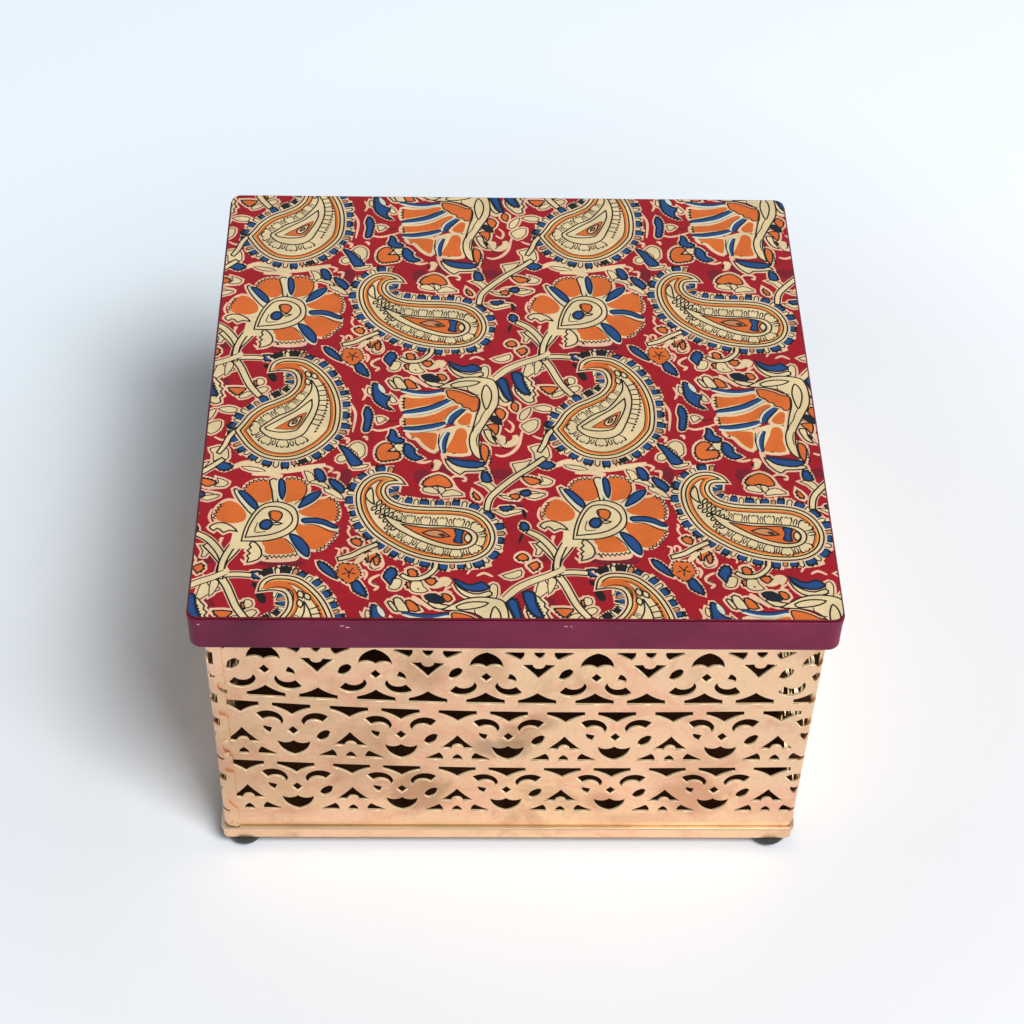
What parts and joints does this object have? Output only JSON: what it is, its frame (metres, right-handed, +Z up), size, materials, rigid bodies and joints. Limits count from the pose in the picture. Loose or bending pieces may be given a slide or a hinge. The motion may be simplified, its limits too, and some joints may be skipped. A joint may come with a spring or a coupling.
{
  "type": "pierced metal sweet box with lift-off lid",
  "caption": "Square sweet box: pierced copper sheet walls on a hemmed base tray with rubber feet, and a lift-off skirted lid with a paisley print.",
  "frame": {"origin": "on the table, under the middle of the box", "axes": "+Z up, -Y is the front wall that the picture shows, +X is that wall's right"},
  "size_m": [0.16, 0.16, 0.0988],
  "materials": {
    "copper_sheet": "satin copper-plated sheet, mottled",
    "solder": "bright soft solder",
    "plum_enamel": "satin plum paint",
    "printed_top": "printed paper under clear gloss, crimson ground with cream, orange and blue paisleys",
    "board": "raw fibreboard",
    "felt": "dark brown felt",
    "rubber_foot": "matt",
    "adhesive_pad": "matt"
  },
  "bodies": {
    "box_body": {"base_tray": "copper_sheet", "base_board": "board", "base_felt": "felt", "wall_front": "copper_sheet", "wall_right": "copper_sheet", "wall_back": "copper_sheet", "wall_left": "copper_sheet", "corner_seam_front_right": "copper_sheet", "corner_seam_right_back": "copper_sheet", "corner_seam_back_left": "copper_sheet", "corner_seam_left_front": "copper_sheet", "mouth_rail_front": "copper_sheet", "mouth_rail_right": "copper_sheet", "mouth_rail_back": "copper_sheet", "mouth_rail_left": "copper_sheet", "seam_solder_spots": "solder", "foot_front_left": "rubber_foot", "foot_front_right": "rubber_foot", "foot_back_left": "rubber_foot", "foot_back_right": "rubber_foot", "foot_pad_front_left": "adhesive_pad", "foot_pad_front_right": "adhesive_pad", "foot_pad_back_left": "adhesive_pad", "foot_pad_back_right": "adhesive_pad"},
    "lid": {"lid_pan": "plum_enamel", "lid_core_board": "board", "lid_locating_strip_front": "board", "lid_locating_strip_right": "board", "lid_locating_strip_back": "board", "lid_locating_strip_left": "board", "lid_lining": "felt", "lid_print": "printed_top"}
  },
  "joints": [
    {"name": "lid_lift", "type": "slide", "parent": "box_body", "child": "lid", "axis": [0, 0, 1], "range_m": [0, 0.12]}
  ]
}
